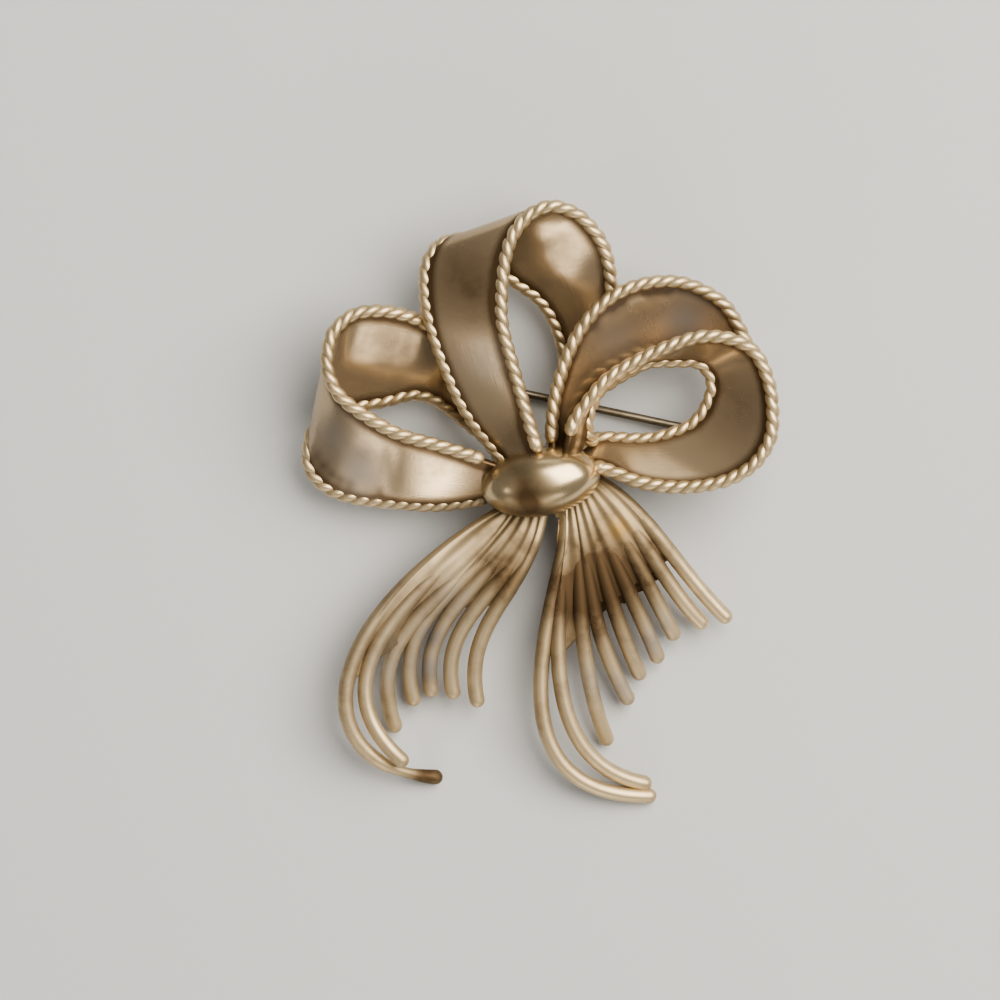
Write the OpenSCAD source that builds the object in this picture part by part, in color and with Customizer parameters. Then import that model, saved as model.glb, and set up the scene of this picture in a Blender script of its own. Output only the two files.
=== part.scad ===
// Bow brooch that lies face up: four ribbon loops with a rope along each edge, a domed knot,
// two fringed tails of tapered wire, and a pin on the back.
// X runs across the bow, Y runs up it from tails to top loop, and Z runs from the floor to its front.
// The origin is the middle of the bow's outline, on the floor. Millimetres and degrees.

/* [Bow] */
// Length of the bow, from the top loop to the tips of the tails
bow_length = 60.5; // [45:0.5:80]
// Depth of the bow, from the floor to the front edge of the top loop
bow_depth = 12; // [9:0.5:16]

/* [Ribbon] */
// Thickness of the ribbon's wall
ribbon_t = 0.7; // [0.5:0.05:1]
// Thickness of the rope soldered along each edge of the ribbon
rope_d = 1.4; // [1:0.05:1.5]

/* [Knot] */
// Length of the knot
knot_length = 12; // [10:0.5:13]
// Width of the knot
knot_width = 7; // [6:0.2:8]
// Height of the knot's dome, whose top is at the bow's full depth
knot_dome = 4.5; // [3:0.1:5.5]
// Height above the floor of the knot's flat back
knot_seat = 2.5; // [2:0.1:3]
// Turn of the knot, which puts its right end higher up the bow
knot_turn = 10; // [0:1:15]

/* [Tails] */
// Thickness of a fringe wire from its middle to its tip
wire_d = 1.55; // [1.2:0.05:1.7]
// Thickness of a fringe wire at its root, where it runs into its neighbours
root_d = 1.1; // [1:0.05:1.3]
// Thickness of the sheet that joins the wires from their roots to where they part
web_t = 0.6; // [0.4:0.05:0.9]

/* [Pin] */
// Thickness of the pin stem
pin_d = 0.8; // [0.6:0.1:1]
// Height of the stem's centre line above the floor
pin_height = 1.3; // [1:0.1:1.6]
// Thickness of the round hinge foot
hinge_d = 2.4; // [1.8:0.1:2.8]
// Thickness of the round catch foot
catch_d = 2.2; // [1.6:0.1:2.6]

/* [Fit] */
// Clearance between pieces that meet
gap = 0.15; // [0.1:0.05:0.3]

/* [View] */
// Which piece to draw

/* [Hidden] */

// The tables below are written for a bow this long and this deep, and grow and shrink with it.
table_length = 60.5;
table_depth = 12;
step = bow_length / table_length;
rise = bow_depth / table_depth;

gold = [0.72, 0.61, 0.43];
pale_gold = [0.83, 0.73, 0.54];
steel = [0.45, 0.43, 0.40];

// Each ribbon loop is a table with a row for each section, from the strand in front round to the one behind:
// front edge across, along and height, then back edge across, along and height.
left_shares = [
    [-4.7, 4.1, 9.0, -3.8, 0.9, 5.0],
    [-10.0, 5.8, 9.4, -9.6, -0.1, 4.6],
    [-14.2, 7.0, 9.8, -14.5, 0.1, 4.4],
    [-17.6, 8.9, 10.1, -19.0, 0.7, 4.3],
    [-20.0, 10.8, 10.3, -21.6, 1.8, 4.3],
    [-21.1, 13.0, 10.4, -23.1, 3.6, 4.4],
    [-21.2, 15.1, 10.3, -23.2, 5.6, 4.5],
    [-20.6, 17.2, 10.0, -22.7, 7.5, 4.5],
    [-18.7, 18.9, 9.5, -21.1, 8.9, 4.4],
    [-16.0, 19.3, 8.8, -18.5, 9.8, 4.1],
    [-13.6, 18.9, 7.9, -15.7, 10.3, 3.8],
    [-11.4, 18.0, 6.8, -12.9, 11.0, 3.5],
    [-9.5, 16.2, 6.2, -10.7, 10.6, 3.3],
    [-8.0, 13.4, 5.9, -9.0, 9.5, 3.2],
    [-6.5, 9.9, 5.8, -7.3, 8.1, 3.2],
    [-4.6, 6.8, 5.8, -5.3, 6.4, 3.2],
    [-3.2, 4.6, 5.8, -3.8, 4.3, 3.2],
];
top_shares = [
    [-0.2, 5.2, 10.6, -3.6, 4.4, 7.7],
    [-1.6, 9.8, 11.0, -7.2, 9.0, 8.0],
    [-2.8, 14.0, 11.2, -9.5, 13.8, 8.3],
    [-3.8, 18.0, 11.3, -11.0, 18.2, 8.5],
    [-3.8, 21.9, 11.3, -11.5, 21.4, 8.3],
    [-3.4, 24.8, 11.3, -11.3, 24.0, 7.9],
    [-2.6, 27.0, 11.3, -10.2, 25.8, 7.3],
    [-1.1, 28.8, 11.2, -8.5, 26.5, 6.7],
    [1.1, 29.7, 11.0, -6.4, 26.5, 6.1],
    [3.5, 29.0, 10.7, -4.7, 24.9, 5.6],
    [5.2, 27.5, 10.2, -3.4, 23.1, 5.2],
    [6.4, 25.6, 9.5, -1.9, 21.9, 4.9],
    [7.0, 23.2, 8.6, -0.4, 20.9, 4.5],
    [7.1, 20.7, 7.5, 1.0, 19.2, 4.0],
    [6.6, 17.9, 6.6, 2.0, 16.9, 3.6],
    [5.7, 14.9, 5.6, 2.5, 14.2, 3.3],
    [4.4, 11.6, 4.9, 2.3, 11.2, 3.2],
    [2.8, 8.4, 4.8, 1.7, 8.3, 3.2],
    [1.9, 5.2, 4.8, 1.1, 5.2, 3.2],
];
upper_right_shares = [
    [1.2, 5.2, 8.8, 3.2, 5.4, 6.8],
    [1.2, 8.2, 9.0, 3.8, 7.7, 6.7],
    [1.7, 11.5, 9.2, 4.4, 9.6, 6.6],
    [3.0, 15.4, 9.6, 5.5, 11.1, 6.3],
    [4.9, 18.6, 9.9, 7.0, 12.1, 6.0],
    [7.4, 20.8, 10.0, 8.6, 13.1, 5.8],
    [10.4, 22.0, 9.8, 10.6, 14.1, 5.7],
    [13.6, 22.2, 9.3, 13.1, 15.0, 5.6],
    [16.2, 21.4, 8.7, 15.2, 15.6, 5.6],
    [18.4, 20.0, 8.0, 17.2, 15.1, 5.4],
    [19.8, 17.9, 7.3, 18.7, 13.8, 5.1],
    [20.8, 15.6, 6.8, 19.3, 12.2, 4.7],
    [20.9, 12.6, 6.3, 19.1, 10.3, 4.3],
    [20.1, 9.4, 5.9, 18.0, 8.5, 3.9],
    [18.4, 6.7, 5.6, 16.0, 7.0, 3.5],
    [15.5, 4.9, 5.3, 13.2, 5.8, 3.3],
    [12.0, 4.2, 5.1, 10.3, 5.3, 3.2],
    [8.5, 4.2, 5.0, 7.4, 5.4, 3.2],
    [5.0, 4.2, 5.0, 4.3, 5.2, 3.2],
];
right_shares = [
    [2.7, 5.6, 11.0, 4.3, 6.2, 8.0],
    [3.3, 8.0, 11.1, 4.7, 8.2, 8.0],
    [4.8, 10.3, 11.2, 5.2, 10.0, 7.9],
    [6.9, 12.6, 11.3, 6.4, 11.9, 7.7],
    [10.1, 14.5, 11.3, 8.6, 13.4, 7.5],
    [13.3, 15.9, 11.3, 11.1, 14.2, 7.3],
    [16.2, 16.7, 11.2, 13.6, 14.3, 7.1],
    [19.2, 16.4, 11.1, 15.7, 14.2, 6.9],
    [21.5, 15.0, 10.9, 16.9, 13.2, 6.7],
    [22.8, 12.2, 10.7, 17.3, 11.7, 6.5],
    [23.2, 9.4, 10.4, 16.9, 10.3, 6.3],
    [23.0, 6.6, 10.1, 16.3, 9.1, 6.2],
    [21.5, 4.1, 9.8, 15.1, 7.9, 6.1],
    [19.0, 2.5, 9.5, 13.3, 7.1, 6.0],
    [16.1, 1.8, 9.2, 11.3, 6.6, 5.9],
    [13.0, 1.7, 8.9, 9.3, 6.5, 5.9],
    [9.9, 2.2, 8.6, 7.5, 6.6, 5.9],
    [7.1, 3.3, 8.4, 5.9, 6.6, 5.9],
    [4.7, 3.9, 8.2, 4.6, 5.4, 5.9],
];

// Each tail is a table with a row for each wire, a smooth curve from its root past two pulls to its tip:
// first pull across and along, second pull across and along, tip across, along and height, and the share of
// its run as far as which the sheet joins it to its neighbours.
left_wire_shares = [
    [-1.0, -8.8, -7.9, -11.4, -6.3, -19.7, 3.0, 0.5],
    [-1.8, -8.3, -10.5, -10.9, -8.7, -18.9, 2.7, 0.5],
    [-3.5, -7.1, -12.5, -10.8, -10.9, -18.7, 2.4, 0.5],
    [-5.7, -7.6, -15.1, -10.5, -12.7, -19.6, 2.0, 0.5],
    [-8.9, -10.2, -18.0, -12.3, -14.6, -22.3, 1.5, 0.5],
    [-10.0, -6.8, -24.2, -16.5, -13.9, -25.7, 3.9, 0.5],
    [-23.5, -12.6, -23.3, -26.6, -10.5, -27.5, 0.8, 0.5],
];
right_wire_shares = [
    [10.8, -0.7, 13.6, -6.3, 18.6, -11.3, 3.0, 0.6],
    [9.4, -1.4, 12.4, -8.0, 16.2, -11.9, 2.8, 0.66],
    [8.5, -3.2, 11.0, -8.3, 13.4, -13.0, 2.6, 0.68],
    [6.6, -4.2, 9.5, -9.7, 11.8, -15.3, 2.4, 0.68],
    [5.7, -4.6, 7.3, -11.2, 10.0, -17.0, 2.1, 0.66],
    [4.7, -5.7, 4.9, -12.6, 8.8, -19.5, 1.8, 0.6],
    [4.2, -6.1, 3.5, -15.9, 6.7, -23.6, 1.4, 0.46],
    [2.4, -9.6, -1.6, -25.6, 10.5, -28.1, 1.0, 0.46],
    [4.8, -3.3, -8.7, -29.3, 11.0, -29.4, 0.8, 0.5],
];
// Root of a tail's first and last wire: across and along.
left_root_shares = [[0.2, -0.9], [-4.2, -0.9]];
right_root_shares = [[5.9, 2.4], [2.3, -1.0]];
// Heights of every wire's root and its two pulls.
root_height_share = 5.4;
first_pull_share = 7.2;
second_pull_share = 5.2;
// Share of a wire's run at which it reaches its full thickness.
thick_share = 0.4;

// Middle of the knot: across and along.
knot_centre_shares = [0.1, 2.3];

// The hinge foot stands under the left loop's front rope, and the catch foot under the upper right loop's,
// each at a row of its table and a share of the way on to the next.
hinge_row_share = 13.5;
catch_row_share = 13.8;

// Sections between two rows of a loop, points round a rope, and steps along a wire.
cuts = 3;
rope_points = 7;
wire_steps = 12;
wire_facets = 8;
web_steps = 6;
dome_rings = 7;
knot_points = 36;

function unit(v) = v / norm(v);
function mix(a, b, share) = a + (b - a) * share;
function on_bow(place) = [place[0] * step, place[1] * step, place[2] * rise];
function front(row) = on_bow([row[0], row[1], row[2]]);
function back(row) = on_bow([row[3], row[4], row[5]]);

// A smooth curve through the rows, at a share of the way from row i to the next.
function between(rows, i, share) =
    let (
        a = rows[max(i - 1, 0)],
        b = rows[i],
        c = rows[i + 1],
        d = rows[min(i + 2, len(rows) - 1)]
    )
    0.5 * (2 * b + (c - a) * share + (2 * a - 5 * b + 4 * c - d) * pow(share, 2)
        + (3 * b - a - 3 * c + d) * pow(share, 3));
function smooth(rows) = concat(
    [for (i = [0 : len(rows) - 2], k = [0 : cuts - 1]) between(rows, i, k / cuts)],
    [rows[len(rows) - 1]]
);

// Points round one edge's rope, which starts and ends on the two faces of the wall.
function rope_ring(place, along, inward) =
    let (
        face = unit(cross(along, inward)),
        toward = unit(cross(face, along)),
        start = asin(ribbon_t / rope_d)
    )
    [for (k = [0 : rope_points - 1])
        let (angle = start + k * (360 - 2 * start) / (rope_points - 1))
        place + rope_d / 2 * (cos(angle) * toward + sin(angle) * face)];

// Points round the whole section: round the front rope, then round the back one.
function ribbon_ring(rows, i) =
    let (
        before = rows[max(i - 1, 0)],
        after = rows[min(i + 1, len(rows) - 1)],
        f = front(rows[i]),
        b = back(rows[i])
    )
    concat(
        rope_ring(f, unit(front(after) - front(before)), b - f),
        rope_ring(b, unit(back(after) - back(before)), f - b)
    );

// A flat end: each rope's end is a fan, and the wall's end is two triangles between them.
function end_faces(first) =
    let (back_first = first + rope_points)
    concat(
        [for (k = [1 : rope_points - 2]) [first, first + k + 1, first + k]],
        [for (k = [1 : rope_points - 2]) [back_first, back_first + k + 1, back_first + k]],
        [
            [first, back_first, back_first - 1],
            [first, back_first + rope_points - 1, back_first]
        ]
    );
function turned(faces) = [for (f = faces) [f[0], f[2], f[1]]];

module ribbon_loop(rows) {
    sections = smooth(rows);
    side = 2 * rope_points;
    points = [for (i = [0 : len(sections) - 1]) each ribbon_ring(sections, i)];
    walls = [for (i = [0 : len(sections) - 2], k = [0 : side - 1])
        let (a = i * side + k, b = i * side + (k + 1) % side)
        each [[a, b, b + side], [a, b + side, a + side]]];
    ends = concat(end_faces(0), turned(end_faces((len(sections) - 1) * side)));
    polyhedron(points, concat(walls, ends));
}

// One fringe wire: a cubic curve from its root, thickening to full size by its middle.
function wire_place(root, row, t) =
    pow(1 - t, 3) * [root[0], root[1], root_height_share]
    + 3 * pow(1 - t, 2) * t * [row[0], row[1], first_pull_share]
    + 3 * (1 - t) * pow(t, 2) * [row[2], row[3], second_pull_share]
    + pow(t, 3) * [row[4], row[5], row[6]];
function wire_thickness(t) = mix(root_d, wire_d, min(1, t / thick_share));

module bead(root, row, t) {
    translate(on_bow(wire_place(root, row, t)))
        sphere(d = wire_thickness(t), $fn = wire_facets);
}

module fringe(rows, roots) {
    for (w = [0 : len(rows) - 1], k = [0 : wire_steps - 1]) {
        root = mix(roots[0], roots[1], w / (len(rows) - 1));
        hull() {
            bead(root, rows[w], k / wire_steps);
            bead(root, rows[w], (k + 1) / wire_steps);
        }
    }
    web(rows, roots);
}

// The sheet between the wires, in a ring of points for each step: over the top from the first wire
// to the last, then back underneath.
module web(rows, roots) {
    last = len(rows) - 1;
    over = [for (k = [0 : web_steps]) [for (w = [0 : last])
        wire_place(mix(roots[0], roots[1], w / last), rows[w], rows[w][7] * k / web_steps)]];
    side = 2 * len(rows);
    points = [for (ring = over) each concat(
        [for (w = [0 : last]) on_bow(ring[w]) + [0, 0, web_t / 2]],
        [for (w = [0 : last]) on_bow(ring[last - w]) - [0, 0, web_t / 2]]
    )];
    walls = [for (i = [0 : web_steps - 1], k = [0 : side - 1])
        let (a = i * side + k, b = i * side + (k + 1) % side)
        each [[a, b + side, b], [a, a + side, b + side]]];
    ends = [for (w = [0 : last - 1])
        let (a = w, b = w + 1, c = side - 2 - w, d = side - 1 - w, far = web_steps * side)
        each [[a, b, c], [a, c, d], [far + a, far + c, far + b], [far + a, far + d, far + c]]];
    polyhedron(points, concat(walls, ends));
}

// Points round the knot, or round the room left for it, with each half grown by extra.
function oval(extra) = [for (k = [0 : knot_points - 1])
    let (turn = 360 * k / knot_points)
    [(knot_length / 2 + extra) * cos(turn), (knot_width / 2 + extra) * sin(turn)]];

module at_knot() {
    translate([knot_centre_shares[0] * step, knot_centre_shares[1] * step, knot_seat])
        rotate([0, 0, knot_turn])
            children();
}

// A straight side under half of a flattened ball, in rings that rise to one point at the top.
module knot_body() {
    outline = oval(0);
    knot_side = bow_depth - knot_dome - knot_seat;
    rings = [for (r = [0 : dome_rings - 1]) 90 * r / dome_rings];
    side_ring = [for (p = outline) [p[0], p[1], 0]];
    dome = [for (a = rings, p = outline)
        [p[0] * cos(a), p[1] * cos(a), knot_side + knot_dome * sin(a)]];
    tip = [[0, 0, knot_side + knot_dome]];
    walls = [for (r = [0 : dome_rings - 1], k = [0 : knot_points - 1])
        let (a = r * knot_points + k, b = r * knot_points + (k + 1) % knot_points)
        each [[a, b + knot_points, b], [a, a + knot_points, b + knot_points]]];
    last = dome_rings * knot_points;
    top = [for (k = [0 : knot_points - 1])
        [last + k, last + knot_points, last + (k + 1) % knot_points]];
    floor_face = [[for (k = [0 : knot_points - 1]) k]];
    polyhedron(concat(side_ring, dome, tip), concat(walls, top, floor_face));
}

// Ribbons and wires are drawn on into the knot, and cut back to the clearance round it.
module beside_knot() {
    difference() {
        children();
        at_knot()
            translate([0, 0, -bow_depth])
                linear_extrude(3 * bow_depth)
                    polygon(oval(gap));
    }
}

module loop_left() {
    color(gold) beside_knot() ribbon_loop(left_shares);
}

module loop_top() {
    color(gold) beside_knot() ribbon_loop(top_shares);
}

module loop_upper_right() {
    color(gold) beside_knot() ribbon_loop(upper_right_shares);
}

module loop_right() {
    color(gold) beside_knot() ribbon_loop(right_shares);
}

module knot() {
    color(pale_gold) at_knot() knot_body();
}

module tail_left() {
    color(gold) beside_knot() fringe(left_wire_shares, left_root_shares);
}

module tail_right() {
    color(gold) beside_knot() fringe(right_wire_shares, right_root_shares);
}

// Middle of a foot's top: the foot stands beside the wall, and its rim reaches under the middle of the rope.
function foot_top(rows, row_share, thickness) =
    let (
        i = floor(row_share),
        row = between(rows, i, row_share - i),
        run = front(rows[i + 1]) - front(rows[i]),
        across = unit([run[1], -run[0], 0]),
        away = across * sign(across * (front(row) - back(row)))
    )
    front(row) + thickness / 2 * away - [0, 0, rope_d / 2 + gap];

module foot(top, thickness) {
    translate([top[0], top[1], 0])
        cylinder(d = thickness, h = top[2], $fn = 32);
}

module pin_back() {
    hinge = foot_top(left_shares, hinge_row_share, hinge_d);
    catch = foot_top(upper_right_shares, catch_row_share, catch_d);
    run = catch - hinge;
    color(steel) {
        foot(hinge, hinge_d);
        foot(catch, catch_d);
        translate([hinge[0], hinge[1], pin_height])
            rotate([0, 90, atan2(run[1], run[0])])
                cylinder(d = pin_d, h = norm([run[0], run[1]]), $fn = 24);
    }
}

loop_left();
loop_top();
loop_upper_right();
loop_right();
knot();
tail_left();
tail_right();
pin_back();
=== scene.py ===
"""Bow brooch of aged pale gold metal, face up on a pale floor and seen from straight above.

Four ribbon loops carry a twisted two-strand rope along each edge. They meet under a polished, domed
knot, from which two fringes of tapered wire curl down. A steel pin stem crosses behind the loops.
X runs across the bow, Y up it from tails to top loop, and Z from the floor to its front.
"""
from collections import namedtuple
import math

import bpy
import mathutils
import numpy as np
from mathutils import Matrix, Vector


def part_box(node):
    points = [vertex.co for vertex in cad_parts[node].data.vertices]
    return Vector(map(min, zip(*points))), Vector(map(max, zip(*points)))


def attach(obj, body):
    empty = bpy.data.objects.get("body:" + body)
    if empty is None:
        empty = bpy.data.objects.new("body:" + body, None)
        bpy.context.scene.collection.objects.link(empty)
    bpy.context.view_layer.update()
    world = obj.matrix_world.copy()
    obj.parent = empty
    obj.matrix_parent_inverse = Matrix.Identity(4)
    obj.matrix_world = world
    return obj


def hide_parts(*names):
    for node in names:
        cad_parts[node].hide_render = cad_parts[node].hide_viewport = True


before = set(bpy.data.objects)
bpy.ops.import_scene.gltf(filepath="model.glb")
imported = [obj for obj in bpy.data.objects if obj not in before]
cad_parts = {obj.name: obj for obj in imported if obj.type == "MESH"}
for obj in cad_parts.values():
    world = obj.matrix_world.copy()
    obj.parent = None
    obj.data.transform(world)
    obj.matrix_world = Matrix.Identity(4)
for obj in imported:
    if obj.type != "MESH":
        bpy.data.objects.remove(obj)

bl_info = {
    "name": "Bow Brooch",
    "version": (1, 0, 0),
    "blender": (4, 5, 0),
    "location": "View3D > Sidebar > Brooch",
    "description": "Builds a bow brooch with roped ribbon loops, a domed knot and wire fringes",
    "category": "Add Mesh",
}

MM = 0.001
UP, ALONG = np.array([0.0, 0.0, 1.0]), np.array([0.0, 1.0, 0.0])
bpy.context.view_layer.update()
KNOT_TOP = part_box("knot")[1][2]
PIN_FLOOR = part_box("pin_back")[0][2]

# Loop tables in millimetres, a row for each section from the strand in front round to the one behind:
# front edge across, along and height, then back edge across, along and height.
# The first and last row of each lie inside the knot.
LEFT_LOOP = [
    (-2.4, 3.4, 7.4, -1.6, 1.6, 4.6),
    (-4.7, 4.1, 8.6, -3.8, 0.9, 5.0),
    (-10.0, 5.8, 9.4, -9.6, -0.1, 4.6),
    (-14.2, 7.0, 9.8, -14.5, 0.1, 4.4),
    (-17.6, 8.9, 10.1, -19.0, 0.7, 4.3),
    (-20.0, 10.8, 10.3, -21.6, 1.8, 4.3),
    (-21.1, 13.0, 10.4, -23.1, 3.6, 4.4),
    (-21.2, 15.1, 10.3, -23.2, 5.6, 4.5),
    (-20.6, 17.2, 10.0, -22.7, 7.5, 4.5),
    (-18.7, 18.9, 9.5, -21.1, 8.9, 4.4),
    (-16.0, 19.3, 8.8, -18.5, 9.8, 4.1),
    (-13.6, 18.9, 7.9, -15.7, 10.3, 3.8),
    (-11.4, 18.0, 6.8, -12.9, 11.0, 3.5),
    (-9.5, 16.2, 6.2, -10.7, 10.6, 3.3),
    (-8.0, 13.4, 5.9, -9.0, 9.5, 3.2),
    (-6.5, 9.9, 5.8, -7.3, 8.1, 3.2),
    (-4.6, 6.8, 5.8, -5.3, 6.4, 3.2),
    (-3.2, 4.6, 5.8, -3.8, 4.3, 3.2),
    (-2.0, 3.4, 5.6, -2.4, 3.1, 3.4),
]
TOP_LOOP = [
    (0.4, 3.2, 8.6, -2.6, 2.6, 6.0),
    (-0.2, 5.2, 10.4, -3.6, 4.4, 7.6),
    (-1.6, 9.8, 11.0, -7.2, 9.0, 8.0),
    (-2.8, 14.0, 11.2, -9.5, 13.8, 8.3),
    (-3.8, 18.0, 11.3, -11.0, 18.2, 8.5),
    (-3.8, 21.9, 11.3, -11.5, 21.4, 8.3),
    (-3.4, 24.8, 11.3, -11.3, 24.0, 7.9),
    (-2.6, 27.0, 11.3, -10.2, 25.8, 7.3),
    (-1.1, 28.8, 11.2, -8.5, 26.5, 6.7),
    (1.1, 29.7, 11.0, -6.4, 26.5, 6.1),
    (3.5, 29.0, 10.7, -4.7, 24.9, 5.6),
    (5.2, 27.5, 10.2, -3.4, 23.1, 5.2),
    (6.4, 25.6, 9.5, -1.9, 21.9, 4.9),
    (7.0, 23.2, 8.6, -0.4, 20.9, 4.5),
    (7.1, 20.7, 7.5, 1.0, 19.2, 4.0),
    (6.6, 17.9, 6.6, 2.0, 16.9, 3.6),
    (5.7, 14.9, 5.6, 2.5, 14.2, 3.3),
    (4.4, 11.6, 4.9, 2.3, 11.2, 3.2),
    (2.8, 8.4, 4.8, 1.7, 8.3, 3.2),
    (1.9, 5.2, 4.8, 1.1, 5.2, 3.2),
    (1.2, 3.4, 4.8, 0.6, 3.4, 3.4),
]
UPPER_RIGHT_LOOP = [
    (1.3, 3.0, 7.4, 2.8, 3.2, 5.6),
    (1.2, 5.2, 8.8, 3.2, 5.4, 6.8),
    (1.2, 8.2, 9.0, 3.8, 7.7, 6.7),
    (1.7, 11.5, 9.2, 4.4, 9.6, 6.6),
    (3.0, 15.4, 9.6, 5.5, 11.1, 6.3),
    (4.9, 18.6, 9.9, 7.0, 12.1, 6.0),
    (7.4, 20.8, 10.0, 8.6, 13.1, 5.8),
    (10.4, 22.0, 9.8, 10.6, 14.1, 5.7),
    (13.6, 22.2, 9.3, 13.1, 15.0, 5.6),
    (16.2, 21.4, 8.7, 15.2, 15.6, 5.6),
    (18.4, 20.0, 8.0, 17.2, 15.1, 5.4),
    (19.8, 17.9, 7.3, 18.7, 13.8, 5.1),
    (20.8, 15.6, 6.8, 19.3, 12.2, 4.7),
    (20.9, 12.6, 6.3, 19.1, 10.3, 4.3),
    (20.1, 9.4, 5.9, 18.0, 8.5, 3.9),
    (18.4, 6.7, 5.6, 16.0, 7.0, 3.5),
    (15.5, 4.9, 5.3, 13.2, 5.8, 3.3),
    (12.0, 4.2, 5.1, 10.3, 5.3, 3.2),
    (8.5, 4.2, 5.0, 7.4, 5.4, 3.2),
    (5.0, 4.2, 5.0, 4.3, 5.2, 3.2),
    (2.8, 3.8, 4.9, 2.4, 4.3, 3.4),
]
RIGHT_LOOP = [
    (2.0, 3.3, 9.2, 3.2, 3.7, 6.6),
    (2.7, 5.6, 10.8, 4.3, 6.2, 8.0),
    (3.3, 8.0, 11.1, 4.7, 8.2, 8.0),
    (4.8, 10.3, 11.2, 5.2, 10.0, 7.9),
    (6.9, 12.6, 11.3, 6.4, 11.9, 7.7),
    (10.1, 14.5, 11.3, 8.6, 13.4, 7.5),
    (13.3, 15.9, 11.3, 11.1, 14.2, 7.3),
    (16.2, 16.7, 11.2, 13.6, 14.3, 7.1),
    (19.2, 16.4, 11.1, 15.7, 14.2, 6.9),
    (21.5, 15.0, 10.9, 16.9, 13.2, 6.7),
    (22.8, 12.2, 10.7, 17.3, 11.7, 6.5),
    (23.2, 9.4, 10.4, 16.9, 10.3, 6.3),
    (23.0, 6.6, 10.1, 16.3, 9.1, 6.2),
    (21.5, 4.1, 9.8, 15.1, 7.9, 6.1),
    (19.0, 2.5, 9.5, 13.3, 7.1, 6.0),
    (16.1, 1.8, 9.2, 11.3, 6.6, 5.9),
    (13.0, 1.7, 8.9, 9.3, 6.5, 5.9),
    (9.9, 2.2, 8.6, 7.5, 6.6, 5.9),
    (7.1, 3.3, 8.4, 5.9, 6.6, 5.9),
    (4.7, 3.9, 8.2, 4.6, 5.4, 5.9),
    (2.6, 3.4, 7.8, 2.8, 4.2, 5.8),
]
# The right loop's ring follows these rows of the back edge and closes on itself beside the knot.
RING_ROWS = slice(2, 19)
RING_CLOSE = [(5.25, 6.3, 6.5), (4.85, 6.9, 7.4)]

# Where each rope starts and ends, in rows of its table, and how many of the last rows lie in the knot.
ROPES = {
    "left": {"front": (1.35, 17.9), "back": (1.4, 17.9)},
    "top": {"front": (1.2, 19.9), "back": (1.1, 19.9)},
    "upper_right": {"front": (1.6, 19.9), "back": (0.8, 19.9)},
    "right": {"front": (1.83, 18.44)},
}
ROWS_IN_KNOT = 1.5
LOOPS = {
    "left": (LEFT_LOOP, "loop_left"),
    "top": (TOP_LOOP, "loop_top"),
    "upper_right": (UPPER_RIGHT_LOOP, "loop_upper_right"),
    "right": (RIGHT_LOOP, "loop_right"),
}
# Shallow dents across a ribbon: place in rows of its table, then width and depth in millimetres.
DENTS = {"left": [(3.15, 0.9, 0.035), (5.9, 3.4, 0.5)]}

# Ribbons: points along and across each face, the power of the half sine that shapes the cup, the rim's
# width on the UV map as a share of the ribbon's, and the millimetres that the painted shade line along
# each edge, where the rope meets the wall, is wide.
RIBBON_STEPS, RIBBON_COLUMNS = 420, 28
CUP_FULLNESS = 0.5
RIM_SHARE = 0.05
EDGE_SHADE_WIDTH = 1.2

# Ropes: a strand's radius as a share of the rope's thickness, its rings in a pitch and its sides, and
# the points of an open rope's path and of the ring's before they are spaced evenly.
STRAND_SHARE = 0.355
STRAND_STEPS, STRAND_SIDES = 18, 14
ROPE_POINTS, RING_POINTS = 600, 900
# Strand patina with painted shade, which grows towards where the strands meet: at its sides, how much
# more towards the rope's middle, and the most.
STRAND_PATINA_AND_SHADE, STRAND_PATINA_AND_SHADE_SWING, STRAND_PATINA_AND_SHADE_MOST = 0.3, 0.7, 0.8
# Rounded rope ends: rings, sides, how far round the first ring lies, half the length as a share of the
# rope's thickness, and over how many points of the rope's path the direction is taken.
BEAD_RINGS, BEAD_SIDES = 12, 20
BEAD_TIP = math.radians(8)
BEAD_REACH = 0.62
BEAD_POINTS = 4

# Fringe wires in millimetres: first pull, second pull, the tip with its height, and the share of the
# wire's run as far as which the sheet joins it to its neighbours.
LEFT_WIRES = [
    (-1.0, -8.8, -7.9, -11.4, -6.3, -19.7, 3.0, 0.5),
    (-1.8, -8.3, -10.5, -10.9, -8.7, -18.9, 2.7, 0.5),
    (-3.5, -7.1, -12.5, -10.8, -10.9, -18.7, 2.4, 0.5),
    (-5.7, -7.6, -15.1, -10.5, -12.7, -19.6, 2.0, 0.5),
    (-8.9, -10.2, -18.0, -12.3, -14.6, -22.3, 1.5, 0.5),
    (-10.0, -6.8, -24.2, -16.5, -13.9, -25.7, 3.9, 0.5),
    (-23.5, -12.6, -23.3, -26.6, -10.5, -27.5, 0.8, 0.5),
]
RIGHT_WIRES = [
    (10.8, -0.7, 13.6, -6.3, 18.6, -11.3, 3.0, 0.6),
    (9.4, -1.4, 12.4, -8.0, 16.2, -11.9, 2.8, 0.66),
    (8.5, -3.2, 11.0, -8.3, 13.4, -13.0, 2.6, 0.68),
    (6.6, -4.2, 9.5, -9.7, 11.8, -15.3, 2.4, 0.68),
    (5.7, -4.6, 7.3, -11.2, 10.0, -17.0, 2.1, 0.66),
    (4.7, -5.7, 4.9, -12.6, 8.8, -19.5, 1.8, 0.6),
    (4.2, -6.1, 3.5, -15.9, 6.7, -23.6, 1.4, 0.46),
    (2.4, -9.6, -1.6, -25.6, 10.5, -28.1, 1.0, 0.46),
    (4.8, -3.3, -8.7, -29.3, 11.0, -29.4, 0.8, 0.5),
]
# Root of the first and of the last wire of each fringe.
LEFT_ROOTS = ((0.2, -0.9), (-4.2, -0.9))
RIGHT_ROOTS = ((5.9, 2.4), (2.3, -1.0))
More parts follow.
